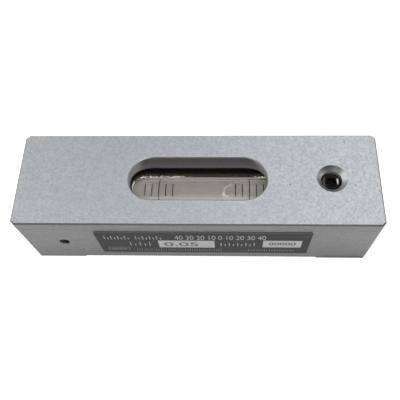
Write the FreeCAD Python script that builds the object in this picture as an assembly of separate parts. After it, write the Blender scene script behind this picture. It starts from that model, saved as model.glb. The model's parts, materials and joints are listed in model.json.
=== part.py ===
# Pocket level: a small bar level with a spirit vial that is trimmed by one screw.
# Millimetres. X runs along the block with the screw end at +X, Y from front to rear, Z up.
# The origin is the middle of the base, on the plane that the two feet stand on.
# The block is sized from what it holds, and comes out 100 long, 28 wide and 25 high.
import FreeCAD, Part
import math
import os
from FreeCAD import Vector

# Glass vial and its graduation
vial_diameter = 11.0
vial_wall = 1.0
vial_length = 60.0
vial_end_chamfer = 1.2
vial_x = 1.6
mark_spacing = 2.0
first_mark_distance = 9.0
marks_a_side = 5
long_mark_number = 3
mark_width = 0.24
mark_height = 0.04
short_mark_reach = 1.95
long_mark_reach = 4.6

# Bubble in the vial, at the end where it lies
bubble_length = 23.8
bubble_width = 6.0
bubble_depth = 1.3
bubble_gap = 0.2
bubble_film = 0.1

# Tube that carries the vial, with its own window
bedding = 0.8
tube_wall = 1.7
tube_window_length = 40.8
tube_window_width = 9.0
liner_thickness = 0.4
liner_overlap = 1.6
vial_end_gap = 0.6

# Pivot block at the left end of the tube, and its pin
collar_length = 9.0
collar_gap = 0.1
spigot_length = 4.85
pin_diameter = 3.0
pin_running_gap = 0.03
pin_cover = 1.5

# Adjusting block at the right end of the tube, its screw and its spring
screw_setback = 4.7
screw_diameter = 3.0
screw_gap = 0.2
thread_gap = 0.1
head_diameter = 5.5
head_height = 3.0
head_edge = 0.35
head_gap = 0.15
socket_across_flats = 2.5
socket_depth = 1.6
socket_chamfer = 0.25
seat_depth = 0.5
seat_gap = 0.35
screw_travel = 0.5
tip_gap = 0.1
spring_wire = 0.6
spring_wire_sides = 6
spring_mean = 4.6
spring_pitch = 2.45
spring_gap = 0.3
spring_pocket_depth = 8.5

# Block
tilt_gap = 1.25
side_wall = 4.75
roof_wall = 3.25
floor_wall = 3.25
end_space = 4.15
upright_chamfer = 1.0
top_chamfer = 0.4
base_chamfer = 0.3
foot_length = 15.0
base_relief = 1.0
spring_seat_depth = 0.05
thread_floor = 0.5
window_length = 38.5
window_width = 13.0
window_x = 0.15
window_edge = 0.25
countersink_diameter = 8.3

# Plugs that close the bore
plug_thickness = 3.0
plug_step = 0.75
plug_sink = 0.2
plug_chamfer = 0.3

# Plate on the front, with its two pale fields: the value field is set in from the plate's left end,
# the number field from its right end, and both sit a little below its middle line
plate_length = 60.0
plate_height = 15.0
plate_thickness = 0.3
plate_x = 1.55
plate_corner = 0.3
field_depth = 0.1
value_field_size = (16.0, 5.4)
value_field_inset = 17.15
value_field_drop = 0.7
number_field_size = (10.9, 5.15)
number_field_inset = 2.25
number_field_drop = 0.3

# How far a cutting shape runs past what it cuts, and how near two numbers count as equal
beyond = 1.0
nearly = 0.0001

# Radii and heights worked out from the sizes above
vial_radius = vial_diameter / 2
cavity_radius = vial_radius - vial_wall
tube_bore_radius = vial_radius + bedding
tube_radius = tube_bore_radius + tube_wall
bore_radius = tube_radius + tilt_gap
collar_radius = bore_radius - collar_gap
plug_radius = bore_radius + plug_step
pin_radius = pin_diameter / 2
screw_radius = screw_diameter / 2
head_radius = head_diameter / 2
head_hole_radius = head_radius + head_gap
spring_seat_radius = (spring_mean + spring_wire) / 2 + spring_gap
axis_z = floor_wall + bore_radius
vial_top = axis_z + vial_radius
block_height = floor_wall + 2 * bore_radius + roof_wall
block_width = 2 * (bore_radius + side_wall)
spring_seat_z = floor_wall - spring_seat_depth
spring_roof_z = axis_z - tube_radius + spring_pocket_depth
head_seat_z = axis_z + tube_radius - seat_depth
screw_tip_z = thread_floor + screw_travel + tip_gap

# Stations along X
vial_left = vial_x - vial_length / 2
vial_right = vial_x + vial_length / 2
spigot_left = vial_left - vial_end_gap - spigot_length
pivot_x = spigot_left - collar_length / 2
collar_left = spigot_left - collar_length
bubble_right = vial_right - vial_wall - bubble_gap
bubble_left_stop = vial_left + vial_wall + bubble_gap
adjusting_left = vial_right + vial_end_gap
screw_x = adjusting_left + screw_setback
tube_right = screw_x + screw_setback
block_end = end_space + plug_thickness - collar_left
block_length = 2 * block_end
liner_length = tube_window_length + 2 * liner_overlap
value_field_x = value_field_inset + (value_field_size[0] - plate_length) / 2
number_field_x = (plate_length - number_field_size[0]) / 2 - number_field_inset


def rod(radius, start, end, height=axis_z):
    """Round bar along X, at the height of the bore's axis unless another is given."""
    return Part.makeCylinder(radius, end - start, Vector(start, 0, height), Vector(1, 0, 0))


def post(radius, x, bottom, top):
    """Round bar along Z, on the centre line of the block."""
    return Part.makeCylinder(radius, top - bottom, Vector(x, 0, bottom), Vector(0, 0, 1))


def cross_bar(radius, x, front, rear):
    """Round bar along Y, at the height of the bore's axis."""
    return Part.makeCylinder(radius, rear - front, Vector(x, front, axis_z), Vector(0, 1, 0))


def tall_slot(length, width, x, bottom, top):
    """Upright solid with straight sides and full round ends."""
    half = width / 2
    left, right = x - length / 2 + half, x + length / 2 - half
    rear = Part.LineSegment(Vector(left, half, bottom), Vector(right, half, bottom))
    front = Part.LineSegment(Vector(right, -half, bottom), Vector(left, -half, bottom))
    right_end = Part.Arc(
        Vector(right, half, bottom), Vector(right + half, 0, bottom), Vector(right, -half, bottom))
    left_end = Part.Arc(
        Vector(left, -half, bottom), Vector(left - half, 0, bottom), Vector(left, half, bottom))
    wire = Part.Wire([part.toShape() for part in (rear, right_end, front, left_end)])
    return Part.Face(wire).extrude(Vector(0, 0, top - bottom))


def edges_at_height(shape, height, test=None):
    """Edges that lie flat at one height, and pass a test on their middle."""
    found = []
    for edge in shape.Edges:
        box = edge.BoundBox
        flat = abs(box.ZMin - height) < nearly and abs(box.ZMax - height) < nearly
        if flat and (test is None or test(box.Center)):
            found.append(edge)
    return found


def save(shape, node):
    """Write one piece, cleaned of seams that mean nothing."""
    clean = shape.removeSplitter()
    clean.exportStep("parts/" + node + ".step")
    print(node, round(clean.Volume, 2), clean.isValid(), len(clean.Solids))


def block_outline():
    """Bar with chamfered uprights, relieved between its two feet, with all long edges broken."""
    end, side, cut = block_end, block_width / 2, upright_chamfer
    corners = [
        (end - cut, -side), (end, -side + cut), (end, side - cut), (end - cut, side),
        (-end + cut, side), (-end, side - cut), (-end, -side + cut), (-end + cut, -side)]
    points = [Vector(x, y, 0) for x, y in corners]
    bar = Part.Face(Part.makePolygon(points + points[:1])).extrude(Vector(0, 0, block_height))
    bar = bar.makeChamfer(top_chamfer, edges_at_height(bar, block_height))
    relief_length = block_length - 2 * foot_length
    relief = Part.makeBox(
        relief_length, block_width, base_relief, Vector(-relief_length / 2, -side, 0))
    bar = bar.cut(relief)
    return bar.makeChamfer(base_chamfer, edges_at_height(bar, 0))


def by_the_window(place):
    """Whether a point is on the mouth of the sight window or inside it."""
    return abs(place.x - window_x) < window_length / 2 and abs(place.y) < window_width / 2 + nearly


def make_body():
    """The block, bored through from end to end and opened from the top, the front and inside."""
    body = block_outline()
    body = body.cut(rod(bore_radius, -block_end, block_end))
    body = body.cut(rod(plug_radius, -block_end, -block_end + plug_thickness))
    body = body.cut(rod(plug_radius, block_end - plug_thickness, block_end))
    body = body.cut(tall_slot(window_length, window_width, window_x, axis_z, block_height + beyond))
    mouth = edges_at_height(body, block_height, by_the_window)
    body = body.makeChamfer(window_edge, mouth)
    body = body.cut(post(head_hole_radius, screw_x, axis_z, block_height + beyond))
    cone_depth = countersink_diameter / 2 - head_hole_radius
    body = body.cut(Part.makeCone(
        head_hole_radius, countersink_diameter / 2, cone_depth,
        Vector(screw_x, 0, block_height - cone_depth)))
    body = body.cut(post(spring_seat_radius, screw_x, spring_seat_z, axis_z))
    body = body.cut(post(screw_radius + thread_gap, screw_x, thread_floor, axis_z))
    pin_reach = block_width / 2 - pin_cover
    return body.cut(cross_bar(pin_radius, pivot_x, -block_width / 2 - beyond, pin_reach))


def make_bore_plug(side):
    """Disc pressed into the step at one end of the bore; side is -1 at the left, 1 at the right."""
    inner = side * (block_end - plug_thickness)
    outer = side * (block_end - plug_sink)
    profile = [
        (inner, 0), (inner, plug_radius), (outer - side * plug_chamfer, plug_radius),
        (outer, plug_radius - plug_chamfer), (outer, 0)]
    return turned(profile)


def turned(profile):
    """Solid turned about the bore's axis from (x, radius) points."""
    points = [Vector(x, 0, axis_z + radius) for x, radius in profile]
    face = Part.Face(Part.makePolygon(points + points[:1]))
    return face.revolve(Vector(0, 0, axis_z), Vector(1, 0, 0), 360)


def make_vial_tube():
    """Tube with a rounded window above the vial, cross-bored for the screw and faced for its head."""
    tube = rod(tube_radius, spigot_left, tube_right)
    tube = tube.cut(rod(tube_bore_radius, spigot_left, tube_right))
    tube = tube.cut(adjusting_holes())
    return tube.cut(tall_slot(
        tube_window_length, tube_window_width, vial_x, axis_z, axis_z + tube_radius + beyond))


def adjusting_holes():
    """What is cut through the tube and its right block alike: screw hole, head seat, spring pocket."""
    bottom, top = axis_z - tube_radius - beyond, axis_z + tube_radius + beyond
    hole = post(screw_radius + screw_gap, screw_x, bottom, top)
    seat = post(head_radius + seat_gap, screw_x, head_seat_z, top)
    pocket = post(spring_seat_radius, screw_x, bottom, spring_roof_z)
    return hole.fuse([seat, pocket])


def make_adjusting_block():
    """Plug in the right end of the tube."""
    return rod(tube_bore_radius, adjusting_left, tube_right).cut(adjusting_holes())


def make_pivot_block():
    """Collar that rocks on the pin and keeps the tube central, with a spigot in the tube."""
    profile = [
        (collar_left, 0), (collar_left, collar_radius), (spigot_left, collar_radius),
        (spigot_left, tube_bore_radius), (spigot_left + spigot_length, tube_bore_radius),
        (spigot_left + spigot_length, 0)]
    reach = collar_radius + beyond
    hole = cross_bar(pin_radius + pin_running_gap, pivot_x, -reach, reach)
    return turned(profile).cut(hole)


def make_pivot_pin():
    """Pin pressed across the block, its ends sunk below both faces."""
    reach = block_width / 2 - pin_cover
    return cross_bar(pin_radius, pivot_x, -reach, reach)


def make_adjusting_screw():
    """Socket-head cap screw, its thread left plain."""
    top = head_seat_z + head_height
    profile = [
        (0, screw_tip_z), (screw_radius, screw_tip_z), (screw_radius, head_seat_z),
        (head_radius, head_seat_z), (head_radius, top - head_edge), (head_radius - head_edge, top),
        (0, top)]
    points = [Vector(screw_x + radius, 0, z) for radius, z in profile]
    face = Part.Face(Part.makePolygon(points + points[:1]))
    screw = face.revolve(Vector(screw_x, 0, 0), Vector(0, 0, 1), 360)
    corner = socket_across_flats / math.sqrt(3)
    flats = [
        Vector(screw_x + corner * math.cos(turn * math.pi / 3), corner * math.sin(turn * math.pi / 3),
               top - socket_depth)
        for turn in range(6)]
    socket = Part.Face(Part.makePolygon(flats + flats[:1])).extrude(Vector(0, 0, socket_depth))
    mouth = Part.makeCone(
        corner, corner + socket_chamfer, socket_chamfer, Vector(screw_x, 0, top - socket_chamfer))
    return screw.cut(socket).cut(mouth)


def make_adjusting_spring():
    """Coil spring with both ends ground flat, from its seat in the bore to the roof of its pocket."""
    height = spring_roof_z - spring_seat_z
    path = Part.makeHelix(spring_pitch, height, spring_mean / 2)
    turns = [2 * math.pi * side / spring_wire_sides for side in range(spring_wire_sides)]
    corners = [
        Vector((spring_mean + spring_wire * math.cos(turn)) / 2, 0, spring_wire * math.sin(turn) / 2)
        for turn in turns]
    section = Part.Wire(Part.makePolygon(corners + corners[:1]))
    coil = Part.Wire(path).makePipeShell([section], True, True)
    coil.translate(Vector(screw_x, 0, spring_seat_z))
    room = post(spring_seat_radius, screw_x, spring_seat_z, spring_roof_z)
    return coil.common(room)


def make_vial_glass():
    """Sealed glass, bevelled at both ends, with the hollow inside it."""
    glass = rod(vial_radius, vial_left, vial_right)
    ends = [edge for edge in glass.Edges if edge.BoundBox.XLength < nearly]
    return glass.makeChamfer(vial_end_chamfer, ends).cut(vial_hollow(0))


def vial_hollow(inset):
    """Space inside the glass, taken in by an inset all round."""
    return rod(cavity_radius - inset, vial_left + vial_wall + inset, vial_right - vial_wall - inset)


def make_air_bubble():
    """Bubble against the top of the hollow: round ends in plan, and an underside that bulges down."""
    left = bubble_right - bubble_length
    wall_radius = cavity_radius - bubble_film
    half = bubble_width / 2
    bottom = axis_z + wall_radius - bubble_depth
    sag = axis_z + math.sqrt(wall_radius ** 2 - half ** 2) - bottom
    bulge = (half ** 2 + sag ** 2) / (2 * sag)
    dish = rod(bulge, left + half, bubble_right - half, bottom + bulge)
    ends = [
        Part.makeSphere(bulge, Vector(x, 0, bottom + bulge))
        for x in (left + half, bubble_right - half)]
    plan = tall_slot(bubble_length, bubble_width, left + bubble_length / 2, bottom - beyond, vial_top)
    return plan.common(rod(wall_radius, vial_left, vial_right)).common(dish.fuse(ends))


def make_vial_spirit():
    """Liquid, clear of the way that the bubble travels."""
    left, right = bubble_left_stop - bubble_film, bubble_right + bubble_film
    floor = vial_top - vial_wall - bubble_depth - 2 * bubble_film
    way = tall_slot(right - left, bubble_width + bubble_film, (left + right) / 2, floor, vial_top)
    return vial_hollow(bubble_film / 2).cut(way)


def curved_strip(inner, outer, reach, start, end):
    """Strip that lies over the top of the bore's axis; reach is how far it goes to each side."""
    angle = math.asin(reach / inner)
    rims = []
    for radius in (inner, outer):
        places = [
            Vector(start, radius * math.sin(turn), axis_z + radius * math.cos(turn))
            for turn in (-angle, 0, angle)]
        rims.append((Part.Arc(*places).toShape(), places[0], places[2]))
    (low, low_left, low_right), (high, high_left, high_right) = rims
    sides = [
        Part.LineSegment(low_right, high_right).toShape(), Part.LineSegment(high_left, low_left).toShape()]
    wire = Part.Wire([low, sides[0], high, sides[1]])
    return Part.Face(wire).extrude(Vector(end - start, 0, 0))


def make_division_marks():
    """Lines across the top of the glass, the middle one of each side's group longer."""
    marks = []
    for side in (-1, 1):
        for count in range(marks_a_side):
            reach = long_mark_reach if count + 1 == long_mark_number else short_mark_reach
            x = vial_x + side * (first_mark_distance + count * mark_spacing)
            marks.append(curved_strip(
                vial_radius, vial_radius + mark_height, reach, x - mark_width / 2, x + mark_width / 2))
    return Part.makeCompound(marks)


def make_plaster(side):
    """Ring that sets one end of the vial in the tube."""
    near = vial_x + side * liner_length / 2
    far = vial_x + side * (vial_length / 2 - vial_end_chamfer)
    start, end = min(near, far), max(near, far)
    return rod(tube_bore_radius, start, end).cut(rod(vial_radius, start, end))


def make_backing_liner():
    """Pale lining of the tube between the plaster rings, open at the top as the tube is."""
    start, end = vial_x - liner_length / 2, vial_x + liner_length / 2
    liner = rod(tube_bore_radius, start, end)
    liner = liner.cut(rod(tube_bore_radius - liner_thickness, start, end))
    return liner.cut(Part.makeBox(
        liner_length, tube_window_width, tube_radius, Vector(start, -tube_window_width / 2, axis_z)))


def plate_block(size, place, depth_in, depth_out):
    """Flat block on the front face; place is its centre from the plate's centre."""
    length, height = size
    x = plate_x + place[0] - length / 2
    z = axis_z + place[1] - height / 2
    front = -block_width / 2
    return Part.makeBox(length, depth_out - depth_in, height, Vector(x, front - depth_out, z))


def fields():
    """The two pale fields, let into the face of the plate."""
    inner = plate_thickness - field_depth
    return [
        plate_block(size, place, inner, plate_thickness)
        for size, place in (
            (value_field_size, (value_field_x, -value_field_drop)),
            (number_field_size, (number_field_x, -number_field_drop)))]


def make_name_plate():
    """Thin plate on the front face with its corners just rounded."""
    plate = plate_block((plate_length, plate_height), (0, 0), 0, plate_thickness)
    corners = [edge for edge in plate.Edges if abs(edge.BoundBox.YLength - plate_thickness) < nearly]
    return plate.makeFillet(plate_corner, corners).cut(Part.makeCompound(fields()))


os.makedirs("parts", exist_ok=True)
value_field, number_field = fields()
save(make_body(), "body")
save(make_bore_plug(-1), "bore_plug_left")
save(make_bore_plug(1), "bore_plug_right")
save(make_vial_tube(), "vial_tube")
save(make_pivot_block(), "pivot_block")
save(make_pivot_pin(), "pivot_pin")
save(make_adjusting_block(), "adjusting_block")
save(make_adjusting_screw(), "adjusting_screw")
save(make_adjusting_spring(), "adjusting_spring")
save(make_vial_glass(), "vial_glass")
save(make_vial_spirit(), "vial_spirit")
save(make_air_bubble(), "air_bubble")
save(make_division_marks(), "division_marks")
save(make_plaster(-1), "plaster_left")
save(make_plaster(1), "plaster_right")
save(make_backing_liner(), "backing_liner")
save(make_name_plate(), "name_plate")
save(value_field, "value_field")
save(number_field, "number_field")
print("block", round(block_length, 3), round(block_width, 3), round(block_height, 3))
print("pivot", round(pivot_x, 3), "screw", round(screw_x, 3), "axis height", round(axis_z, 3))
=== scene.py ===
# Looks of a pocket level: its finishes, vial, bubble, plate print, floor, light and camera.
# Metres, in the frame of the CAD parts: X along the block, Y to the rear, Z up, origin under the middle.
import bpy
import bmesh
import json
import math
from mathutils import Matrix, Vector


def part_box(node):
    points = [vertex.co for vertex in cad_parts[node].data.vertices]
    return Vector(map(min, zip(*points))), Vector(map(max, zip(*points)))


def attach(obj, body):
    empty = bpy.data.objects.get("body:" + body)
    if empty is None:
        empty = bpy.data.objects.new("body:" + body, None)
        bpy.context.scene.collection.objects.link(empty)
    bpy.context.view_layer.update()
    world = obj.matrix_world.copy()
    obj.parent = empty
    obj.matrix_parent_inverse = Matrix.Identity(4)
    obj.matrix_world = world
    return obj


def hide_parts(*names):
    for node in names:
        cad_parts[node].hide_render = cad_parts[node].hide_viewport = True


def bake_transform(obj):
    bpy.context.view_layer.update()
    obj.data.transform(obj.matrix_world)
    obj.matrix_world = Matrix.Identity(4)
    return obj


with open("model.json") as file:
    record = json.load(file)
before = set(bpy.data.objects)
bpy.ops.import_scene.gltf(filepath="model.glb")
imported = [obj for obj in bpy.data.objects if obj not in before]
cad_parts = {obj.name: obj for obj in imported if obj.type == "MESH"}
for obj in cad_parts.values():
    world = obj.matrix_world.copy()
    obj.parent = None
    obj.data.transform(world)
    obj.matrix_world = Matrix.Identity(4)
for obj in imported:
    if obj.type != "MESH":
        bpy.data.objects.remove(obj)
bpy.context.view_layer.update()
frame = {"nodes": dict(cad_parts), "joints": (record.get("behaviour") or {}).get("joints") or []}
nodes = frame["nodes"]
mm = 0.001
jointPlaces = {joint["name"]: joint.get("pos_m") for joint in frame["joints"]}
pivotX, axisZ = jointPlaces["vial_tilt"][0], jointPlaces["vial_tilt"][2]
screwX = jointPlaces["screw_turn"][0]
print("parts loaded:", len(nodes))


# Small helpers for node materials. A fade is a soft step: where it starts and ends on a value, then its
# level before and after, which are 0 and 1 where only two numbers stand. A noise is its features to the
# metre, detail, roughness and twist.

def feed(tree, socket, value):
    if isinstance(value, bpy.types.NodeSocket):
        tree.links.new(value, socket)
    else:
        socket.default_value = value


def addNode(tree, kind, inputs=None, **settings):
    made = tree.nodes.new(kind)
    for name, value in settings.items():
        setattr(made, name, value)
    for name, value in (inputs or {}).items():
        feed(tree, made.inputs[name], value)
    return made


def calc(tree, operation, *values, clamp=False):
    made = tree.nodes.new("ShaderNodeMath")
    made.operation, made.use_clamp = operation, clamp
    for socket, value in zip(made.inputs, values):
        feed(tree, socket, value)
    return made.outputs[0]


def chain(tree, operation, first, *rest):
    # the same sum, product or comparison over several values
    for value in rest:
        first = calc(tree, operation, first, value)
    return first


def times(tree, *values):
    return chain(tree, "MULTIPLY", *values)


def plus(tree, *values):
    return chain(tree, "ADD", *values)


def most(tree, *values):
    return chain(tree, "MAXIMUM", *values)


def absolute(tree, value):
    return calc(tree, "ABSOLUTE", value)


def weigh(tree, *pairs):
    # sum of values, each times its weight
    return plus(tree, *[calc(tree, "MULTIPLY", value, weight) for value, weight in pairs])


def fade(tree, value, start, end, low=0.0, high=1.0):
    made = addNode(tree, "ShaderNodeMapRange", interpolation_type="SMOOTHSTEP")
    for socket, number in zip(made.inputs, (value, start, end, low, high)):
        feed(tree, socket, number)
    return made.outputs["Result"]


def blendColour(tree, share, first, second):
    made = addNode(tree, "ShaderNodeMix", data_type="RGBA", blend_type="MIX", clamp_result=True)
    feed(tree, made.inputs[0], share)
    feed(tree, made.inputs[6], first)
    feed(tree, made.inputs[7], second)
    return made.outputs[2]


def blendNumber(tree, share, first, second):
    return addNode(tree, "ShaderNodeMix", {0: share, 2: first, 3: second}).outputs[0]


def cloud(tree, place, scale, detail=2.0, rough=0.5, twist=0.0):
    made = addNode(tree, "ShaderNodeTexNoise", {
        "Vector": place, "Scale": scale, "Detail": detail, "Roughness": rough, "Distortion": twist})
    return made.outputs["Fac"]


def streaks(tree, place, scales, detail=2.0, rough=0.5):
    # noise with its own scale along each axis
    drawn = addNode(tree, "ShaderNodeVectorMath", {0: place, 1: scales}, operation="MULTIPLY").outputs[0]
    return cloud(tree, drawn, 1.0, detail, rough)


def dents(tree, height, depth, strength=1.0, under=None):
    # depth is in metres
    made = addNode(tree, "ShaderNodeBump", {"Height": height, "Distance": depth, "Strength": strength})
    if under is not None:
        tree.links.new(under, made.inputs["Normal"])
    return made.outputs[0]


def leanNormal(tree, normal, share, towards):
    # normal that leans to a direction, so that the surface catches more light from there
    made = addNode(tree, "ShaderNodeVectorMath", {0: towards, 1: share, 2: normal}, operation="MULTIPLY_ADD")
    return addNode(tree, "ShaderNodeVectorMath", {0: made.outputs[0]}, operation="NORMALIZE").outputs[0]


def startFinish(name, **values):
    material = bpy.data.materials.new(name)
    material.use_nodes = True
    tree = material.node_tree
    shader = tree.nodes["Principled BSDF"]
    for label, value in values.items():
        shader.inputs[label.replace("_", " ")].default_value = value
    place = addNode(tree, "ShaderNodeTexCoord").outputs["Object"]
    return material, tree, shader, place


def partsOf(tree, vector):
    made = addNode(tree, "ShaderNodeSeparateXYZ", {0: vector})
    return made.outputs[0], made.outputs[1], made.outputs[2]


def normalOf(tree, kind):
    # kind is Normal, or True Normal for the flat one of each face
    return addNode(tree, "ShaderNodeNewGeometry").outputs[kind]


def pill(tree, x, y, middle, length, width):
    # distance outside a slot with round ends, in plan
    along = absolute(tree, calc(tree, "SUBTRACT", x, middle))
    past = calc(tree, "MAXIMUM", calc(tree, "SUBTRACT", along, (length - width) / 2), 0.0)
    reach = calc(tree, "SQRT", plus(tree, calc(tree, "POWER", past, 2.0), calc(tree, "POWER", y, 2.0)))
    return calc(tree, "SUBTRACT", reach, width / 2)


def ring(tree, a, b, middleA, middleB):
    # distance from an axis, in the plane across it
    first = calc(tree, "POWER", calc(tree, "SUBTRACT", a, middleA), 2.0)
    second = calc(tree, "POWER", calc(tree, "SUBTRACT", b, middleB), 2.0)
    return calc(tree, "SQRT", plus(tree, first, second))


def dress(node, material):
    data = nodes[node].data
    data.materials.clear()
    data.materials.append(material)


# Small helpers for new pieces

def boxOf(node):
    low, high = [Vector(corner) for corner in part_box(node)]
    return low, high, (low + high) / 2


def skin(form, rows, closed):
    # four-sided faces between rows of corners; closed rows go all round
    for first, second in zip(rows, rows[1:]):
        for here in range(len(first) if closed else len(first) - 1):
            after = (here + 1) % len(first)
            form.faces.new((first[here], first[after], second[after], second[here]))


def addPiece(name, form, material):
    mesh = bpy.data.meshes.new(name)
    form.to_mesh(mesh)
    form.free()
    mesh.materials.append(material)
    made = bpy.data.objects.new(name, mesh)
    bpy.context.scene.collection.objects.link(made)
    return made


def closedTube(name, hoops, material):
    # solid skinned over hoops of places, with flat ends
    form = bmesh.new()
    rows = [[form.verts.new(place) for place in hoop] for hoop in hoops]
    skin(form, rows, True)
    form.faces.new(rows[0][::-1])
    form.faces.new(rows[-1])
    bmesh.ops.recalc_face_normals(form, faces=form.faces)
    for face in form.faces:
        face.smooth = len(face.verts) == 4
    return addPiece(name, form, material)


def fitPiece(piece, body, node):
    # piece that rides on a body and stands for a CAD node
    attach(piece, body)
    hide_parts(node)


# Block: pearly plated top, ground sides, bare edges

block = {
    "topLight": (0.63, 0.653, 0.683, 1), "topDark": (0.505, 0.523, 0.547, 1),
    # the near-black colour is painted shade on the sides, and the rim colour is a painted highlight round the
    # window
    "pitColour": (0.12, 0.12, 0.13, 1), "rimHighlight": (0.66, 0.69, 0.71, 1), "paintedShade": (0.02, 0.02, 0.02, 1),
    # the sides are the same plating as the top: their ground lines are real, their darker, neutral colours
    # are painted shade, and the top's bluish tint is painted skylight
    "sideLight": (0.208, 0.208, 0.212, 1), "sideDark": (0.122, 0.122, 0.126, 1),
    "edge": (0.2, 0.195, 0.19, 1), "inside": (0.45, 0.45, 0.45, 1), "hole": (0.3, 0.295, 0.29, 1),
    "wallTop": (0.19, 0.185, 0.187, 1), "wallLow": (0.36, 0.35, 0.353, 1),
    "wallLeft": (0.66, 0.655, 0.65, 1), "wallRight": (0.46, 0.455, 0.45, 1),
    "coneDark": (0.62, 0.635, 0.65, 1), "coneLight": (0.84, 0.86, 0.88, 1),
    "windowMiddle": 0.15 * mm, "windowLength": 38.5 * mm, "windowWidth": 13 * mm,
    # what counts as top, broken edge, upright wall and front, by the normal
    "topNormal": (0.9, 0.98), "topHeight": (24.2 * mm, 24.6 * mm), "edgeNormal": (0.3, 0.5),
    "edgeNormalEnd": (0.8, 0.9, 1.0, 0.0), "uprightNormal": (0.1, 0.2, 1.0, 0.0),
    "frontNormal": (-0.9, -0.5, 1.0, 0.0),
    # top
    "grain": (1500, 3, 0.6, 0.8), "blotches": (420, 3, 0.55), "blotchWeight": 0.15, "mottle": (0.355, 0.635),
    "pits": 380, "pitSize": (0.08, 0.16, 1.0, 0.0), "pitPlaces": (230, 1), "pitShare": (0.6, 0.68),
    "pitDark": 0.55, "topRough": (0.3, 0.7, 0.58, 0.44),
    # sides: fine ground lines and wisps; painted shade low down, along the feet and in the pivot hole, and
    # darker below the pivot hole
    "lines": ((60, 60, 5200), 4, 0.65), "wisps": ((110, 110, 700), 3, 0.6), "lineWeight": 0.2,
    "groundShade": (0.3, 0.7), "sideRough": (0.2, 0.8, 0.36, 0.5), "lowShade": (0.0, 17 * mm, 0.4, 0.0),
    "footShade": (0.3 * mm, 1.4 * mm, 0.2, 0.0), "underHoleDrop": 1.3 * mm,
    "underHole": (0.8 * mm, 2.1 * mm, 0.45, 0.0), "underRight": (28 * mm, 40 * mm),
    "underLine": (0.9 * mm, 4.2 * mm, 0.97, 0.0), "pinHole": (1.51 * mm, 1.56 * mm, 1.0, 0.0),
    "pinHoleDepth": (-13.95 * mm, -13.2 * mm, 0.35, 0.95),
    # broken edges
    "awayFromWindow": (0.4 * mm, 0.6 * mm), "byWindow": (0.4 * mm, 0.6 * mm, 1.0, 0.0),
    "awayFromHole": (4.3 * mm, 4.5 * mm), "wear": (500, 3), "wearShare": (0.3, 0.6, 0.75, 1.0),
    "rightEdge": (0.3, 0.6, 0.0, 0.6), "rim": (0.1 * mm, 0.9 * mm, 0.5, 0.0),
    "edgeEnds": (12 * mm, 16 * mm), "bore": (9.3 * mm, 9.45 * mm, 1.0, 0.0),
    # walls of the window, with painted light at their ends
    "wallInside": (0.02 * mm, 0.1 * mm, 1.0, 0.0), "wallHeight": (24.6 * mm, 24.8 * mm, 1.0, 0.0),
    "wallClimb": (23.5 * mm, 20 * mm), "wallEnds": (15.2 * mm, 18 * mm), "leftToRight": (-1 * mm, 1 * mm),
    "shoulderHeight": (22.6 * mm, 24.4 * mm), "shoulderEnd": (14 * mm, 17 * mm),
    "wallGrain": (0.3, 0.7, 0.0, 0.2),
    # hole over the screw, and the turned cone round it, with painted shade at its rear and left
    "holeWall": (2.92 * mm, 2.96 * mm, 1.0, 0.0), "holeHeight": (20 * mm, 22 * mm),
    "cone": (4.25 * mm, 4.35 * mm, 1.0, 0.0), "coneLines": ((9000, 1, 1), 3, 0.6), "coneMottle": (0.3, 0.65),
    "coneRough": 0.32, "coneBow": 0.3, "coneSkew": 0.12, "coneRear": (0.0, 4.0 * mm, 0.05, 1.0),
    "coneLeft": (-1.8 * mm, -3.2 * mm, 0.0, 0.45),
    # less metallic where it is dull, and the relief of grain, lines, pits and cone
    "metal": (0.0, 1.0, 0.85, 0.2), "skinDepth": 0.02 * mm, "skinStrength": 0.6, "lineDepth": 0.35,
    "pitDepth": -0.7, "coneDepth": 0.4}


def topSkin(tree, place, grain):
    # pear-skin: soft blotches, small grains and a few dark pits
    pits = addNode(tree, "ShaderNodeTexVoronoi", {"Vector": place, "Scale": block["pits"]}, feature="F1")
    pit = times(tree, fade(tree, pits.outputs["Distance"], *block["pitSize"]),
                fade(tree, cloud(tree, place, *block["pitPlaces"]), *block["pitShare"]))
    blotch = cloud(tree, place, *block["blotches"])
    mottle = weigh(tree, (blotch, block["blotchWeight"]), (grain, 1 - block["blotchWeight"]))
    colour = blendColour(tree, fade(tree, mottle, *block["mottle"]), block["topDark"], block["topLight"])
    colour = blendColour(tree, times(tree, pit, block["pitDark"]), colour, block["pitColour"])
    return colour, mottle, pit


def groundSide(tree, place, grain):
    # long fine lines along the block, in colours darker than the top's: painted shade
    lines = streaks(tree, place, *block["lines"])
    wisps = streaks(tree, place, *block["wisps"])
    weight = block["lineWeight"]
    ground = weigh(tree, (lines, weight), (wisps, weight), (grain, 1 - 2 * weight))
    share = fade(tree, ground, *block["groundShade"])
    return blendColour(tree, share, block["sideDark"], block["sideLight"]), lines


def sideShade(tree, x, y, z, ny):
    # painted shade: darker low down towards the floor, along the right foot and in the pivot hole; also
    # darker below the pivot hole
    low = plus(tree, fade(tree, z, *block["lowShade"]), fade(tree, z, *block["footShade"]))
    underHole = fade(tree, ring(tree, x, z, pivotX, axisZ - block["underHoleDrop"]), *block["underHole"])
    underHole = times(tree, underHole, fade(tree, ny, *block["frontNormal"]))
    underLine = times(tree, fade(tree, z, *block["underLine"]), fade(tree, x, *block["underRight"]))
    pinHole = times(tree, fade(tree, ring(tree, x, z, pivotX, axisZ), *block["pinHole"]),
                    fade(tree, y, *block["pinHoleDepth"]))
    return most(tree, low, underHole, underLine, pinHole), pinHole


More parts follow.
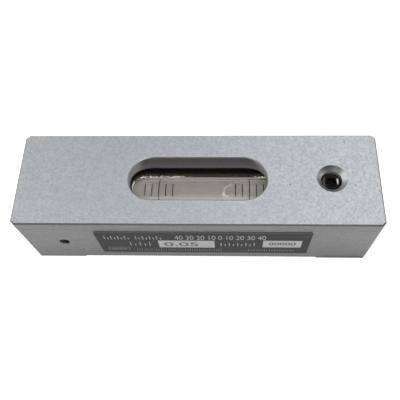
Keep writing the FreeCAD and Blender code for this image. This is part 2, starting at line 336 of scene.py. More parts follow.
def windowWall(tree, x, z, offMiddle, grain):
    # dull and paler low down; painted light at both round ends, palest at the left, where they face the
    # lamps, and their upper ends take the top's colour
    colour = blendColour(tree, fade(tree, z, *block["wallClimb"]), block["wallTop"], block["wallLow"])
    ends = blendColour(tree, fade(tree, x, *block["leftToRight"]), block["wallLeft"], block["wallRight"])
    colour = blendColour(tree, fade(tree, absolute(tree, offMiddle), *block["wallEnds"]), colour, ends)
    shoulder = times(
        tree, fade(tree, z, *block["shoulderHeight"]), fade(tree, offMiddle, *block["shoulderEnd"]))
    colour = blendColour(tree, shoulder, colour, block["topLight"])
    return blendColour(tree, fade(tree, grain, *block["wallGrain"]), colour, block["sideDark"])


def screwCone(tree, hole, grain):
    # turned lines round the screw
    radius = addNode(tree, "ShaderNodeCombineXYZ", {0: hole}).outputs[0]
    turned = streaks(tree, radius, *block["coneLines"])
    share = fade(tree, weigh(tree, (turned, 0.5), (grain, 0.5)), *block["coneMottle"])
    return blendColour(tree, share, block["coneDark"], block["coneLight"]), turned


def coneShade(tree, x, y):
    # painted shade: the rear and the left of the cone are darker, where the turned metal reflects little
    # light
    fromScrew = calc(tree, "SUBTRACT", x, screwX)
    rearward = calc(tree, "SUBTRACT", y, times(tree, absolute(tree, fromScrew), block["coneBow"]))
    rearward = calc(tree, "SUBTRACT", rearward, times(tree, fromScrew, block["coneSkew"]))
    return most(tree, fade(tree, rearward, *block["coneRear"]), fade(tree, fromScrew, *block["coneLeft"]))


def makeBlockFinish():
    material, tree, shader, place = startFinish("platedSteel")
    x, y, z = partsOf(tree, place)
    nx, ny, nz = partsOf(tree, normalOf(tree, "True Normal"))
    grain = cloud(tree, place, *block["grain"])
    window = pill(tree, x, y, block["windowMiddle"], block["windowLength"], block["windowWidth"])
    offMiddle = calc(tree, "SUBTRACT", x, block["windowMiddle"])
    hole = ring(tree, x, y, screwX, 0.0)
    up = times(tree, fade(tree, nz, *block["topNormal"]), fade(tree, z, *block["topHeight"]))
    sloped = times(tree, fade(tree, nz, *block["edgeNormal"]), fade(tree, nz, *block["edgeNormalEnd"]))
    # top and sides
    topColour, mottle, pit = topSkin(tree, place, grain)
    sideColour, lines = groundSide(tree, place, grain)
    # painted shade low on the sides and in the pivot hole, and a darker patch below the pivot hole
    paintedShade, pinHole = sideShade(tree, x, y, z, ny)
    sideColour = blendColour(tree, paintedShade, sideColour, block["paintedShade"])
    colour = blendColour(tree, up, sideColour, topColour)
    # broken edges are bare and darker; a painted highlight makes the rim of the window a little lighter,
    # where its rounded edge catches the light
    outerEdge = times(tree, sloped, fade(tree, window, *block["awayFromWindow"]),
                      fade(tree, hole, *block["awayFromHole"]))
    wear = fade(tree, cloud(tree, place, *block["wear"]), *block["wearShare"])
    bareEdge = blendColour(tree, fade(tree, nx, *block["rightEdge"]), block["edge"], block["sideDark"])
    colour = blendColour(tree, times(tree, outerEdge, wear), colour, bareEdge)
    rim = times(tree, up, fade(tree, window, *block["rim"]))
    colour = blendColour(tree, rim, colour, block["rimHighlight"])
    # inside the bore the steel is plain, and the walls of the window are dull, with painted light at their
    # ends
    bore = fade(tree, ring(tree, y, z, 0.0, axisZ), *block["bore"])
    colour = blendColour(tree, bore, colour, block["inside"])
    wall = times(tree, fade(tree, window, *block["wallInside"]), fade(tree, z, *block["wallHeight"]),
                 fade(tree, absolute(tree, nz), *block["uprightNormal"]))
    colour = blendColour(tree, wall, colour, windowWall(tree, x, z, offMiddle, grain))
    # the broken edge of the window catches light at both its ends
    windowEdge = times(tree, sloped, fade(tree, window, *block["byWindow"]))
    edgeColour = blendColour(
        tree, fade(tree, absolute(tree, offMiddle), *block["edgeEnds"]), block["edge"], block["topLight"])
    colour = blendColour(tree, windowEdge, colour, edgeColour)
    # hole over the screw, and the cone round it
    holeWall = times(tree, fade(tree, hole, *block["holeWall"]), fade(tree, z, *block["holeHeight"]))
    colour = blendColour(tree, holeWall, colour, block["hole"])
    cone = times(tree, sloped, fade(tree, hole, *block["cone"]))
    coneColour, turned = screwCone(tree, hole, grain)
    colour = blendColour(tree, cone, colour, coneColour)
    # painted shade on the rear and left of the cone
    colour = blendColour(tree, times(tree, cone, coneShade(tree, x, y)), colour, block["sideDark"])
    tree.links.new(colour, shader.inputs["Base Color"])
    rough = blendNumber(
        tree, up, fade(tree, lines, *block["sideRough"]), fade(tree, mottle, *block["topRough"]))
    tree.links.new(blendNumber(tree, cone, rough, block["coneRough"]), shader.inputs["Roughness"])
    dull = most(tree, wall, pinHole, holeWall)
    tree.links.new(fade(tree, dull, *block["metal"]), shader.inputs["Metallic"])
    lineDepth = calc(tree, "SUBTRACT", block["lineDepth"], times(tree, up, block["lineDepth"]))
    height = plus(tree, times(tree, grain, up), times(tree, pit, block["pitDepth"]),
                  times(tree, lines, lineDepth), times(tree, turned, times(tree, cone, block["coneDepth"])))
    tree.links.new(dents(tree, height, block["skinDepth"], block["skinStrength"]), shader.inputs["Normal"])
    return material


dress("body", makeBlockFinish())


# Turned pieces: plugs in the ends of the bore, the pivot pin and the brass blocks in the tube

plugs = {"light": (0.25, 0.252, 0.256, 1), "groove": (0.15, 0.15, 0.152, 1), "ringsAMetre": 7000,
         "rough": 0.36}
pin ={"light": (0.07, 0.07, 0.07, 1), "groove": (0.04, 0.04, 0.04, 1), "ringsAMetre": 9000, "rough": 0.42}
brass = {"light": (0.55, 0.42, 0.2, 1), "groove": (0.36, 0.26, 0.12, 1), "ringsAMetre": 8000, "rough": 0.34}
turning = {
    "waver": 0.02, "alongTheRings": 900, "detail": (4, 0.65), "blotches": (300, 3), "ringWeight": 0.7,
    "shade": (0.3, 0.7), "roughAt": (0.2, 0.8), "rougher": 0.1, "smoother": 0.08, "depth": 0.012 * mm,
    "strength": 0.6}


def makeTurnedFinish(name, look, middleA, middleB, along="X"):
    # rings round an axis, as a facing tool leaves them
    material, tree, shader, place = startFinish(name, Metallic=1.0)
    x, y, z = partsOf(tree, place)
    across = {"X": (y, z), "Y": (x, z), "Z": (x, y)}[along]
    radius = ring(tree, *across, middleA, middleB)
    line = addNode(tree, "ShaderNodeCombineXYZ", {0: radius, 1: times(tree, x, turning["waver"])}).outputs[0]
    rings = streaks(tree, line, (look["ringsAMetre"], turning["alongTheRings"], 1), *turning["detail"])
    blotch = cloud(tree, place, *turning["blotches"])
    share = weigh(tree, (rings, turning["ringWeight"]), (blotch, 1 - turning["ringWeight"]))
    tree.links.new(blendColour(tree, fade(tree, share, *turning["shade"]), look["groove"], look["light"]),
                   shader.inputs["Base Color"])
    rough = fade(tree, share, *turning["roughAt"], look["rough"] + turning["rougher"],
                 look["rough"] - turning["smoother"])
    tree.links.new(rough, shader.inputs["Roughness"])
    tree.links.new(dents(tree, rings, turning["depth"], turning["strength"]), shader.inputs["Normal"])
    return material


plugFinish = makeTurnedFinish("plugSteel", plugs, 0.0, axisZ)
dress("bore_plug_left", plugFinish)
dress("bore_plug_right", plugFinish)
dress("pivot_pin", makeTurnedFinish("groundSteel", pin, pivotX, axisZ, "Y"))
brassFinish = makeTurnedFinish("turnedBrass", brass, 0.0, axisZ)
dress("pivot_block", brassFinish)
dress("adjusting_block", brassFinish)


# Coil spring of round wire with closed end turns, under the adjusting block that it lifts

coil = {"light": (0.34, 0.34, 0.35, 1), "groove": (0.2, 0.2, 0.21, 1), "ringsAMetre": 3000, "rough": 0.32,
        "wire": 0.6 * mm, "sides": 12, "endTurns": 0.9, "activeTurns": 3.2, "stepsATurn": 40,
        "endPitch": 1.05}


def makeCoilSpring(material):
    low, high, middle = boxOf("adjusting_spring")
    wireRadius = coil["wire"] / 2
    radius = (high.x - low.x - coil["wire"]) / 2
    height = high.z - low.z - coil["wire"]
    endRise = coil["endTurns"] * coil["wire"] * coil["endPitch"]
    turns = 2 * coil["endTurns"] + coil["activeTurns"]
    hoops = []
    for step in range(int(turns * coil["stepsATurn"]) + 1):
        turn = step / coil["stepsATurn"]
        active = min(max(turn - coil["endTurns"], 0.0), coil["activeTurns"]) / coil["activeTurns"]
        closed = (turn - active * coil["activeTurns"]) / (2 * coil["endTurns"])
        rise = 2 * endRise * closed + (height - 2 * endRise) * active
        outward = Vector((math.cos(2 * math.pi * turn), math.sin(2 * math.pi * turn), 0))
        centre = Vector((middle.x, middle.y, low.z + wireRadius + rise)) + outward * radius
        hoop = []
        for side in range(coil["sides"]):
            around = 2 * math.pi * side / coil["sides"]
            hoop.append(centre + (outward * math.cos(around) + Vector((0, 0, math.sin(around)))) * wireRadius)
        hoops.append(hoop)
    made = closedTube("coilSpring", hoops, material)
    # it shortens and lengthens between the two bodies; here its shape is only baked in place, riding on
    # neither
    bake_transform(made)
    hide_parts("adjusting_spring")


springFinish = makeTurnedFinish("springSteel", coil, screwX, 0.0, "Z")
dress("adjusting_spring", springFinish)
makeCoilSpring(springFinish)
print("steel and brass done")


# Tube round the vial: blackened outside, bare where its window was cut

tube = {
    "black": (0.07, 0.068, 0.07, 1), "brown": (0.115, 0.108, 0.105, 1), "bare": (0.95, 0.84, 0.70, 1),
    "bareDark": (0.07, 0.05, 0.035, 1), "windowMiddle": 1.6 * mm, "windowLength": 40.8 * mm,
    "windowWidth": 9 * mm, "cutInside": (0.02 * mm, 0.08 * mm, 1.0, 0.0), "cutHeight": (13 * mm, 14 * mm),
    "uprightNormal": (0.05, 0.15, 1.0, 0.0), "mottle": (700, 4), "mottleShade": (0.4, 0.7),
    "sparkle": (1900, 3, 0.7), "sparkleSize": (0.5, 0.57), "patches": (300, 3, 0.6), "patchSize": (0.4, 0.62),
    "patchShare": 0.45, "leftPatch": (-2.5 * mm, -5 * mm, 0.0, 0.7), "rightPatch": (15.5 * mm, 16.5 * mm),
    "speckDepth": (6.8 * mm, 7.3 * mm, 1.0, 0.2), "ends": (19.3 * mm, 20.0 * mm),
    "endDepth": (6.4 * mm, 6.6 * mm), "leftDepth": (7.2 * mm, 7.6 * mm, 1.0, 0.25),
    "leftRear": (1.4 * mm, 2.6 * mm, 1.0, 0.3), "leftToRight": (-1 * mm, 1 * mm),
    "glow": (6.3 * mm, 6.7 * mm, 0.2, 0.0), "rightGlow": (15.8 * mm, 17 * mm),
    "rightGlowDepth": (6.6 * mm, 7.1 * mm, 0.4, 0.05), "rough": 0.5, "cutRough": 0.25,
    "metal": (0.0, 1.0, 0.9, 0.6), "lean": (0, 0, 2.2), "depth": 0.05 * mm, "strength": (0.0, 1.0, 0.2, 0.5)}


def tubeSpecks(tree, x, place, sparkle, depth):
    # painted glints: bright specks in patches on the burred cut, most at both ends of the window
    patches = fade(tree, cloud(tree, place, *tube["patches"]), *tube["patchSize"])
    patches = most(tree, times(tree, patches, tube["patchShare"]), fade(tree, x, *tube["leftPatch"]),
                   fade(tree, x, *tube["rightPatch"]))
    return times(tree, fade(tree, sparkle, *tube["sparkleSize"]), patches,
                 fade(tree, depth, *tube["speckDepth"]))


def tubeEnds(tree, x, y, depth):
    # painted highlight: the cut is bright at both ends, where it faces the lamps; at the left only the foot
    # of the cut, and less of it to the rear
    endward = absolute(tree, calc(tree, "SUBTRACT", x, tube["windowMiddle"]))
    ends = times(tree, fade(tree, endward, *tube["ends"]), fade(tree, depth, *tube["endDepth"]))
    left = times(tree, fade(tree, depth, *tube["leftDepth"]), fade(tree, y, *tube["leftRear"]))
    return times(tree, ends, most(tree, left, fade(tree, x, *tube["leftToRight"])))


def tubeGlow(tree, x, depth):
    # light from the glass glows on the foot of the cut, most at the right
    right = times(tree, fade(tree, x, *tube["rightGlow"]), fade(tree, depth, *tube["rightGlowDepth"]))
    return most(tree, fade(tree, depth, *tube["glow"]), right)


def makeTubeFinish():
    material, tree, shader, place = startFinish("blackenedSteel")
    x, y, z = partsOf(tree, place)
    normal = normalOf(tree, "True Normal")
    edge = pill(tree, x, y, tube["windowMiddle"], tube["windowLength"], tube["windowWidth"])
    cut = times(tree, fade(tree, edge, *tube["cutInside"]), fade(tree, z, *tube["cutHeight"]),
                fade(tree, absolute(tree, partsOf(tree, normal)[2]), *tube["uprightNormal"]))
    depth = ring(tree, y, z, 0.0, axisZ)
    sparkle = cloud(tree, place, *tube["sparkle"])
    bright = most(tree, tubeSpecks(tree, x, place, sparkle, depth), tubeEnds(tree, x, y, depth),
                  tubeGlow(tree, x, depth))
    bright = times(tree, cut, bright)
    # the bare cut is painted bright where it catches light and dark where it reflects the dark inside
    bare = blendColour(tree, bright, tube["bareDark"], tube["bare"])
    mottle = fade(tree, cloud(tree, place, *tube["mottle"]), *tube["mottleShade"])
    black = blendColour(tree, mottle, tube["black"], tube["brown"])
    tree.links.new(blendColour(tree, cut, black, bare), shader.inputs["Base Color"])
    tree.links.new(blendNumber(tree, cut, tube["rough"], tube["cutRough"]), shader.inputs["Roughness"])
    tree.links.new(fade(tree, bright, *tube["metal"]), shader.inputs["Metallic"])
    # burrs on the cut turn up to the light
    leaning = leanNormal(tree, normal, bright, tube["lean"])
    tree.links.new(dents(tree, sparkle, tube["depth"], fade(tree, cut, *tube["strength"]), leaning),
                   shader.inputs["Normal"])
    return material


dress("vial_tube", makeTubeFinish())


# Glass and what is in it: clear, with a pale haze where its mask says

clear = {
    "wave": ((30, 160, 160), 2), "waveDepth": 0.01 * mm, "waveStrength": 0.25, "lean": (0, -0.4, 1),
    "leanRear": (3.9 * mm, 4.7 * mm), "leanMore": 3, "paleRear": (3.9 * mm, 4.8 * mm, 0.0, 0.9),
    "paleFront": (-1.7 * mm, -2.6 * mm, 0.0, 0.7), "litVeil": (0.97, 0.96, 0.94, 1)}
glass = {
    "tint": (0.99, 0.985, 0.975, 1), "bend": 1.05, "veil": (0.62, 0.6, 0.57, 1), "lift": 0.4,
    "rearHaze": (2.4 * mm, 4.3 * mm, 0.0, 0.86), "frontHaze": (-1.5 * mm, -2.7 * mm, 0.0, 0.52),
    "hazeHeight": (12.5 * mm, 14 * mm), "endHaze": (10 * mm, 17 * mm, 0.0, 0.26), "allOverHaze": 0.14,
    "shine": (0.8 * mm, -2.2 * mm, 0.0, 0.4)}


def makeClear(name, look, hazeMask=None, shineMask=None):
    # light that goes to a lamp or leaves a dull surface passes straight through
    material, tree, shader, place = startFinish(
        name, Base_Color=look["tint"], IOR=look["bend"], Roughness=0.0, Transmission_Weight=1.0)
    wave = streaks(tree, place, *clear["wave"])
    tree.links.new(dents(tree, wave, clear["waveDepth"], clear["waveStrength"]), shader.inputs["Normal"])
    body = shader.outputs[0]
    if shineMask is not None:
        tree.links.new(shineMask(tree, place), shader.inputs["Coat Weight"])
    if hazeMask is not None:
        across = partsOf(tree, place)[1]
        lean = fade(tree, across, *clear["leanRear"], look["lift"], clear["leanMore"] * look["lift"])
        normal = leanNormal(tree, normalOf(tree, "Normal"), lean, clear["lean"])
        # painted light: the haze is paler along both sides of the glass, where its shading falls off
        pale = plus(tree, fade(tree, across, *clear["paleRear"]), fade(tree, across, *clear["paleFront"]))
        haze = addNode(tree, "ShaderNodeBsdfDiffuse", {
            "Color": blendColour(tree, pale, look["veil"], clear["litVeil"]), "Normal": normal}).outputs[0]
        body = addNode(tree, "ShaderNodeMixShader", {0: hazeMask(tree, place), 1: body, 2: haze}).outputs[0]
    rays = addNode(tree, "ShaderNodeLightPath").outputs
    through = most(tree, rays["Is Shadow Ray"], rays["Is Diffuse Ray"])
    plain = addNode(tree, "ShaderNodeBsdfTransparent", {"Color": look["tint"]}).outputs[0]
    mix = addNode(tree, "ShaderNodeMixShader", {0: through, 1: body, 2: plain})
    tree.links.new(mix.outputs[0], tree.nodes["Material Output"].inputs["Surface"])
    return material


def vialHaze(tree, place):
    # a faint haze all over, thicker where one looks along the rear of the glass, along its front and at its
    # ends, which paints light over the shade there
    x, y, z = partsOf(tree, place)
    sides = plus(tree, fade(tree, y, *glass["rearHaze"]), fade(tree, y, *glass["frontHaze"]))
    share = plus(tree, times(tree, sides, fade(tree, z, *glass["hazeHeight"])),
                 fade(tree, absolute(tree, x), *glass["endHaze"]))
    return calc(tree, "ADD", share, glass["allOverHaze"], clamp=True)


def vialShine(tree, place):
    return fade(tree, partsOf(tree, place)[1], *glass["shine"])


dress("vial_glass", makeClear("clearGlass", glass, vialHaze, vialShine))

spirit = {"tint": (0.985, 0.98, 0.965, 1), "bend": 1.025, "glassWall": 1.0 * mm, "sunk": 0.03 * mm,
          "corners": 96}


def makeSpiritColumn():
    # whole liquid, its skin sunk a little into the glass so that no gap shows between them
    low, high, middle = boxOf("vial_glass")
    wall = spirit["glassWall"] - spirit["sunk"]
    radius = high.z - axisZ - wall
    turns = [2 * math.pi * step / spirit["corners"] for step in range(spirit["corners"])]
    hoops = [[Vector((x, radius * math.sin(turn), axisZ + radius * math.cos(turn))) for turn in turns]
             for x in (low.x + wall, high.x - wall)]
    made = closedTube("spiritColumn", hoops, makeClear("spirit", spirit))
    fitPiece(made, "vial_carrier", "vial_spirit")


makeSpiritColumn()

# bubble against the top of the liquid: flat below, with a rounded rim along which a painted highlight shows
# as a pale crescent
bubble = {
    "tint": (1, 1, 1, 1), "bend": 0.93, "veil": clear["litVeil"], "lift": 2.0, "topRadius": 4.4 * mm,
    "rim": 0.9 * mm, "across": 40, "along": 90, "weld": 0.001 * mm, "lower": (-0.7 * mm, -1.9 * mm),
    "lowerWider": 0.5 * mm, "paleRim": (0.5 * mm, 1.1 * mm, 1.0, 0.0),
    "nearSide": (-0.9 * mm, 0.3 * mm, 1.0, 0.25), "endStart": 5.0 * mm, "endFull": 2.0 * mm,
    "awayFromEnds": 0.15, "lowerHaze": 0.3}


def bubbleSheet(form, side, low, high, middle):
    # upper (1) or lower (-1) skin over the bubble's slot-shaped plan
    half = (high.y - low.y) / 2
    straight = (high.x - low.x) / 2 - half
    rimZ = axisZ + math.sqrt(bubble["topRadius"] ** 2 - half ** 2)
    rows = []
    for step in range(bubble["along"] + 1):
        offMiddle = -math.cos(math.pi * step / bubble["along"]) * (straight + half)
        past = max(0.0, abs(offMiddle) - straight)
        reach = math.sqrt(max(0.0, half ** 2 - past ** 2))
        row = []
        for part in range(bubble["across"] + 1):
            y = reach * math.sin(math.pi / 2 * (2 * part / bubble["across"] - 1))
            inside = half - math.hypot(past, y)
            bow = math.sqrt(max(0.0, 1 - (1 - min(1.0, inside / bubble["rim"])) ** 2))
            topZ = axisZ + math.sqrt(bubble["topRadius"] ** 2 - y * y)
            z = rimZ + (topZ - rimZ) * bow if side > 0 else rimZ - (rimZ - low.z) * bow
            row.append(form.verts.new((middle.x + offMiddle, y, z)))
        rows.append(row)
    return rows


def makeBubbleShape(material):
    form = bmesh.new()
    for rows in [bubbleSheet(form, side, *boxOf("air_bubble")) for side in (1, -1)]:
        skin(form, rows, False)
    bmesh.ops.remove_doubles(form, verts=form.verts, dist=bubble["weld"])
    bmesh.ops.recalc_face_normals(form, faces=form.faces)
    for face in form.faces:
        face.smooth = True
    fitPiece(addPiece("bubbleShape", form, material), "bubble", "air_bubble")


def bubbleHighlightMask(tree, place):
    # painted highlight: pale at the rims of both ends, brightest on the near side, with a faint pale haze
    # over the near side
    low, high, middle = boxOf("air_bubble")
    x, y, z = partsOf(tree, place)
    inside = times(tree, pill(tree, x, y, middle.x, high.x - low.x, high.y - low.y), -1.0)
    lower = fade(tree, y, *bubble["lower"])
    fromRim = calc(tree, "SUBTRACT", inside, times(tree, lower, bubble["lowerWider"]))
    rim = fade(tree, fromRim, *bubble["paleRim"])
    near = fade(tree, y, *bubble["nearSide"])
    half = (high.x - low.x) / 2
    endward = fade(tree, absolute(tree, calc(tree, "SUBTRACT", x, middle.x)), half - bubble["endStart"],
                   half - bubble["endFull"], bubble["awayFromEnds"], 1.0)
    return most(tree, times(tree, rim, near, endward), times(tree, lower, bubble["lowerHaze"]))


makeBubbleShape(makeClear("bubbleAir", bubble, bubbleHighlightMask))


# Division lines on the glass, worn to the front

ink = {"fresh": (0.008, 0.007, 0.007, 1), "faded": (0.05, 0.045, 0.042, 1), "wear": (1800, 3),
       "wearShare": (0.4, 0.65), "frontward": (1.2 * mm, -1.2 * mm), "depth": 0.01 * mm, "strength": 0.4}


def makeInk():
    material, tree, shader, place = startFinish("markInk", Roughness=0.7, Specular_IOR_Level=0.1)
    wearAndGlint = times(tree, fade(tree, cloud(tree, place, *ink["wear"]), *ink["wearShare"]),
                 fade(tree, partsOf(tree, place)[1], *ink["frontward"]))
    tree.links.new(blendColour(tree, wearAndGlint, ink["fresh"], ink["faded"]), shader.inputs["Base Color"])
    tree.links.new(dents(tree, wearAndGlint, ink["depth"], ink["strength"]), shader.inputs["Normal"])
    return material


dress("division_marks", makeInk())


# Card lining below the vial, and the plaster rings: dull and fibrous

fibres = {"stretch": (1, 3, 3), "detail": (4, 0.6), "shade": (0.3, 0.7), "depth": 0.03 * mm, "strength": 0.4}
plaster = {"light": (0.74, 0.73, 0.7, 1), "dark": (0.6, 0.58, 0.55, 1), "scale": 900}
lining = {
    "light": (0.96, 0.93, 0.89, 1), "dark": (0.52, 0.5, 0.475, 1), "scale": 260, "fibreWeight": 0.2,
    "rim": (11.2 * mm, 13 * mm, 0.0, 0.64), "foot": (9.6 * mm, 7.0 * mm, 0.0, 0.44),
    "ends": (11 * mm, 20 * mm, 0.0, 0.6), "curl": (10.5 * mm, 12.5 * mm, 0.0, 0.5), "lean": (0, -0.3, 1)}


def makeFibrous(name, look, shade=None, curl=None):
    material, tree, shader, place = startFinish(name, Roughness=0.85)
    scales = [look["scale"] * stretch for stretch in fibres["stretch"]]
    noise = streaks(tree, place, scales, *fibres["detail"])
    share = fade(tree, noise, *fibres["shade"])
    if shade is not None:
        share = shade(tree, place, share)
    tree.links.new(blendColour(tree, share, look["dark"], look["light"]), shader.inputs["Base Color"])
    normal = None if curl is None else curl(tree, place)
    tree.links.new(dents(tree, noise, fibres["depth"], fibres["strength"], normal), shader.inputs["Normal"])
    return material


def liningShade(tree, place, share):
    # painted light to even out the shade in the tube: paler at its upper rim, at its foot and towards both
    # ends
    x, y, z = partsOf(tree, place)
    share = plus(tree, times(tree, share, lining["fibreWeight"]), fade(tree, z, *lining["rim"]),
                 fade(tree, z, *lining["foot"]))
    return calc(tree, "ADD", share, fade(tree, absolute(tree, x), *lining["ends"]), clamp=True)


def liningCurl(tree, place):
    # the upper rim curls to the light
    share = fade(tree, partsOf(tree, place)[2], *lining["curl"])
    return leanNormal(tree, normalOf(tree, "Normal"), share, lining["lean"])


dress("backing_liner", makeFibrous("paleCard", lining, liningShade, liningCurl))
plasterFinish = makeFibrous("plaster", plaster)
dress("plaster_left", plasterFinish)
dress("plaster_right", plasterFinish)
print("vial done")


# Adjusting screw: blackened, with a painted brown reflection at its left and a painted highlight at its right

screw = {
    "black": (0.012, 0.011, 0.011, 1), "brown": (0.095, 0.068, 0.064, 1), "wearAndGlint": (0.75, 0.66, 0.64, 1),
    "inside": (0.014, 0.013, 0.013, 1), "rubbing": (900, 4, 0.6), "sheen": (0.3, 0.6, 0.35, 1.0),
    "sheenLeft": (-1.3 * mm, -2.0 * mm), "spotPlace": (1.75 * mm, 0.06 * mm), "spotLong": 0.3,
    "spot": (0.12 * mm, 0.36 * mm, 1.0, 0.0), "socketDepth": (22.4 * mm, 22.7 * mm, 1.0, 0.0),
    "socket": (1.4 * mm, 1.6 * mm, 1.0, 0.0), "socketRougher": 0.35, "rough": (0.2, 0.8, 0.24, 0.44),
    "depth": 0.02 * mm, "strength": 0.5}


def makeScrewFinish():
    material, tree, shader, place = startFinish("screwBlack", Metallic=0.9)
    x, y, z = partsOf(tree, place)
    rubbed = cloud(tree, place, *screw["rubbing"])
    off = calc(tree, "SUBTRACT", x, screwX)
    # painted reflection: a patchy brown sheen at the left of the head
    sheen = times(tree, fade(tree, rubbed, *screw["sheen"]), fade(tree, off, *screw["sheenLeft"]))
    colour = blendColour(tree, sheen, screw["black"], screw["brown"])
    # painted highlight: a bright spot at the right of the rim
    fromSpot = ring(tree, off, times(tree, y, screw["spotLong"]), *screw["spotPlace"])
    colour = blendColour(tree, fade(tree, fromSpot, *screw["spot"]), colour, screw["wearAndGlint"])
    deep = most(tree, fade(tree, z, *screw["socketDepth"]),
                fade(tree, ring(tree, x, y, screwX, 0.0), *screw["socket"]))
    colour = blendColour(tree, deep, colour, screw["inside"])
    tree.links.new(colour, shader.inputs["Base Color"])
    rough = plus(tree, times(tree, deep, screw["socketRougher"]), fade(tree, rubbed, *screw["rough"]))
    tree.links.new(rough, shader.inputs["Roughness"])
    tree.links.new(dents(tree, rubbed, screw["depth"], screw["strength"]), shader.inputs["Normal"])
    return material


dress("adjusting_screw", makeScrewFinish())


# Name plate with two pale fields; its print is ticks, an empty frame and plain numbers

plate = {
    "dark": (0.037, 0.033, 0.034, 1), "darker": (0.027, 0.024, 0.025, 1), "pale": (0.6, 0.595, 0.59, 1),
    "paleShade": (0.52, 0.515, 0.51, 1), "print": (0.5, 0.48, 0.475, 1), "digits": (0.065, 0.05, 0.035, 1),
    "faint": (0.19, 0.181, 0.178, 1), "cutEdge": (0.16, 0.155, 0.155, 1), "proud": 0.01 * mm,
    "darkRough": 0.55, "paleRough": 0.45,
    "brush": ((250, 250, 5000), 3, 0.6), "brushShade": (0.3, 0.7), "sideNormal": (-0.9, -0.6),
    "roughAt": (0.2, 0.8), "smoother": 0.05, "rougher": 0.08, "depth": 0.006 * mm, "strength": 0.5,
    "printWear": (2500, 3, 0.6), "printWearShare": (0.35, 0.6, 0.3, 0.0), "printDepth": 0.004 * mm,
    "printStrength": 0.4, "fontHeight": 1.4}
# places and sizes in mm, across and up from the middle of the plate
tickRows = [
    {"from": -27.6, "to": -20.9, "count": 8, "low": 2.8, "high": (5.2, 4.2)},
    {"from": -18.8, "to": -11.9, "count": 8, "low": 2.8, "high": (5.2, 4.2)},
    {"from": -20.9, "to": -15.4, "count": 5, "low": -2.0, "high": (0.7, -0.5)},
    {"from": 5.0, "to": 14.4, "count": 9, "low": -2.0, "high": (0.5, -0.5)}]
fineRows = [
    {"from": -19.6, "to": 5.0, "count": 36, "low": -5.9, "high": (-4.6, -4.9)},
    {"from": 13.0, "to": 25.8, "count": 18, "low": -5.9, "high": (-4.6, -4.9)}]
tickWidth = 0.26
frameBox = {"middle": (-24.8, -4.35), "size": (6.2, 2.3), "line": 0.22, "barInset": 0.9, "barHalf": 0.35}
numberRows = [
    {"name": "dialNumbers", "text": "40 30 20 10 0 10 20 30 40", "middle": (4.8, 4.1), "width": 25.4,
     "height": 3.0, "bold": 0.0, "look": "print"},
    {"name": "valueDigits", "text": "0.05", "middle": (-6.3, -1.0), "width": 9.8, "height": 2.9, "bold": 0.01,
     "look": "digits"},
    {"name": "countDigits", "text": "00000", "middle": (22.3, -0.3), "width": 7.6, "height": 2.1,
     "bold": 0.025, "look": "digits"}]


def makePlateFinish(name, light, dark, rough):
    material, tree, shader, place = startFinish(name, Specular_IOR_Level=0.15)
    brushed = streaks(tree, place, *plate["brush"])
    face = blendColour(tree, fade(tree, brushed, *plate["brushShade"]), dark, light)
    ny = partsOf(tree, normalOf(tree, "True Normal"))[1]
    tree.links.new(blendColour(tree, fade(tree, ny, *plate["sideNormal"]), face, plate["cutEdge"]),
                   shader.inputs["Base Color"])
    rough = fade(tree, brushed, *plate["roughAt"], rough - plate["smoother"], rough + plate["rougher"])
    tree.links.new(rough, shader.inputs["Roughness"])
    tree.links.new(dents(tree, brushed, plate["depth"], plate["strength"]), shader.inputs["Normal"])
    return material


def makePrintFinish(name, colour):
    material, tree, shader, place = startFinish(name, Roughness=0.55)
    wearAndGlint = fade(tree, cloud(tree, place, *plate["printWear"]), *plate["printWearShare"])
    tree.links.new(blendColour(tree, wearAndGlint, colour, plate["dark"]), shader.inputs["Base Color"])
    tree.links.new(dents(tree, wearAndGlint, plate["printDepth"], plate["printStrength"]), shader.inputs["Normal"])
    return material


def onPlate(across, up):
    # place just proud of the plate's face, from mm across and up from its middle
    low, high, middle = boxOf("name_plate")
    return Vector((middle.x + across * mm, low.y - plate["proud"], middle.z + up * mm))


def makeBars(name, boxes, material, slot):
    # thin flat bars: left, low, right and high side of each
    form = bmesh.new()
    for left, low, right, high in boxes:
        corners = [(left, low), (right, low), (right, high), (left, high)]
        form.faces.new([form.verts.new(onPlate(across, up)) for across, up in corners])
    made = addPiece(name, form, material)
    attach(made, "block")


def makeNumbers(row, material, slot):
    data = bpy.data.curves.new(row["name"], "FONT")
    data.body, data.align_x, data.align_y = row["text"], "CENTER", "CENTER"
    data.size, data.offset = row["height"] * plate["fontHeight"] * mm, row["bold"] * row["height"] * mm
    data.materials.append(material)
    made = bpy.data.objects.new(row["name"], data)
    bpy.context.scene.collection.objects.link(made)
    bpy.context.view_layer.update()
    made.scale.x = row["width"] * mm / made.dimensions.x
    made.scale.y = row["height"] * mm / made.dimensions.y
    made.rotation_euler.x = math.pi / 2
    made.location = onPlate(*row["middle"])
    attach(made, "block")


def tickBars(rows):
    # ticks of one row are alternately long and short
    bars = []
    for row in rows:
        step = (row["to"] - row["from"]) / (row["count"] - 1)
        for index in range(row["count"]):
            left = row["from"] + step * index - tickWidth / 2
            bars.append((left, row["low"], left + tickWidth, row["high"][index % 2]))
    return bars


def frameBars():
    # four sides of the frame, and the plain bar in it
    (across, up), (wide, tall), line = frameBox["middle"], frameBox["size"], frameBox["line"]
    left, right, low, high = across - wide / 2, across + wide / 2, up - tall / 2, up + tall / 2
    inset, half = frameBox["barInset"], frameBox["barHalf"]
    return [(left, low, right, low + line), (left, high - line, right, high),
            (left, low + line, left + line, high - line), (right - line, low + line, right, high - line),
            (left + inset, up - half, right - inset, up + half)]


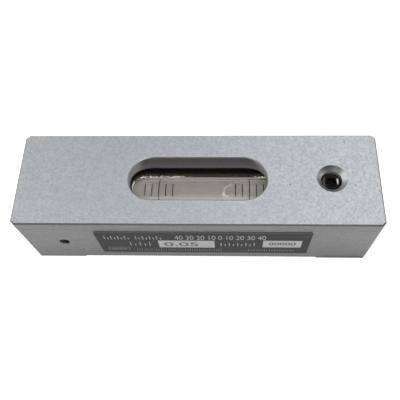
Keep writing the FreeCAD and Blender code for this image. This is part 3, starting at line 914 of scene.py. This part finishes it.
def printPlate():
    finishes = {"print": (makePrintFinish("platePrint", plate["print"]), "plate_pale"),
                "faint": (makePrintFinish("plateFaintPrint", plate["faint"]), "plate_pale"),
                "digits": (makePrintFinish("plateDigits", plate["digits"]), "mark_ink")}
    makeBars("plateBars", tickBars(tickRows), *finishes["print"])
    makeBars("plateFineBars", tickBars(fineRows) + frameBars(), *finishes["faint"])
    for row in numberRows:
        makeNumbers(row, *finishes[row["look"]])


dress("name_plate", makePlateFinish("plateDark", plate["dark"], plate["darker"], plate["darkRough"]))
paleFinish = makePlateFinish("platePale", plate["pale"], plate["paleShade"], plate["paleRough"])
dress("value_field", paleFinish)
dress("number_field", paleFinish)
printPlate()
print("plate done")


# Floor: pale, white to the camera and in metal and glass, and it keeps a soft shadow

floorLook = {"size": 6.0, "colour": (0.8, 0.8, 0.8, 1), "glow": 0.7, "below": 0.02 * mm}


def makeFloor():
    material, tree, shader, place = startFinish("floorWhite", Base_Color=floorLook["colour"], Roughness=0.9)
    rays = addNode(tree, "ShaderNodeLightPath").outputs
    seen = most(tree, rays["Is Camera Ray"], rays["Is Glossy Ray"], rays["Is Transmission Ray"])
    glow = addNode(tree, "ShaderNodeEmission", {"Strength": times(tree, seen, floorLook["glow"])})
    both = addNode(tree, "ShaderNodeAddShader", {0: shader.outputs[0], 1: glow.outputs[0]})
    tree.links.new(both.outputs[0], tree.nodes["Material Output"].inputs["Surface"])
    half = floorLook["size"] / 2
    corners = [(-half, -half, 0), (half, -half, 0), (half, half, 0), (-half, half, 0)]
    form = bmesh.new()
    form.faces.new([form.verts.new(corner) for corner in corners])
    floor = addPiece("floor", form, material)
    floor.location.z = -floorLook["below"]


makeFloor()


# Light: soft lamps overhead, at the rear and at the left, in a plain grey room that is white to the camera

room = {"level": 0.27, "tint": (0.97, 0.985, 1.0, 1), "aim": (0, 0, 0.012)}
lamps = {
    "over": {"place": (0.06, -0.22, 0.47), "size": 0.5, "watts": 1.5, "colour": (1.0, 0.99, 0.98)},
    "rear": {"place": (0.28, 0.38, 0.5), "size": 0.6, "watts": 1.1, "colour": (0.95, 0.98, 1.0)},
    "left": {"place": (-0.42, 0.1, 0.3), "size": 0.6, "watts": 0.75, "colour": (1.0, 0.99, 0.98)}}


def makeLight():
    world = bpy.data.worlds.new("room")
    bpy.context.scene.world = world
    world.use_nodes = True
    tree = world.node_tree
    base = tree.nodes["Background"]
    base.inputs["Color"].default_value = room["tint"]
    toCamera = addNode(tree, "ShaderNodeLightPath").outputs["Is Camera Ray"]
    tree.links.new(blendNumber(tree, toCamera, room["level"], 1.0), base.inputs["Strength"])
    for name, lamp in lamps.items():
        data = bpy.data.lights.new(name, "AREA")
        data.energy, data.size, data.color = lamp["watts"], lamp["size"], lamp["colour"]
        made = bpy.data.objects.new(name, data)
        bpy.context.scene.collection.objects.link(made)
        made.location = lamp["place"]
        aim = Vector(room["aim"]) - made.location
        made.rotation_euler = aim.to_track_quat("-Z", "Y").to_euler()


makeLight()


# Camera, fitted to the block's edges in the photograph

shot = {"place": (9.08274 * mm, -68.80991 * mm, 154.39695 * mm), "yaw": -0.08849, "pitch": 1.11926,
        "roll": 0.07674, "lens": 48.03, "shiftX": -0.0238, "shiftY": -0.0028, "near": 0.005, "far": 20}


def makeCamera():
    data = bpy.data.cameras.new("camera")
    data.lens, data.shift_x, data.shift_y = shot["lens"], shot["shiftX"], shot["shiftY"]
    data.clip_start, data.clip_end = shot["near"], shot["far"]
    camera = bpy.data.objects.new("camera", data)
    bpy.context.scene.collection.objects.link(camera)
    camera.matrix_world = (
        Matrix.Translation(shot["place"]) @ Matrix.Rotation(-shot["yaw"], 4, "Z")
        @ Matrix.Rotation(math.pi / 2 - shot["pitch"], 4, "X") @ Matrix.Rotation(-shot["roll"], 4, "Z"))
    bpy.context.scene.camera = camera


makeCamera()
bpy.context.scene.view_settings.view_transform = "Standard"
print("floor, light and camera done")
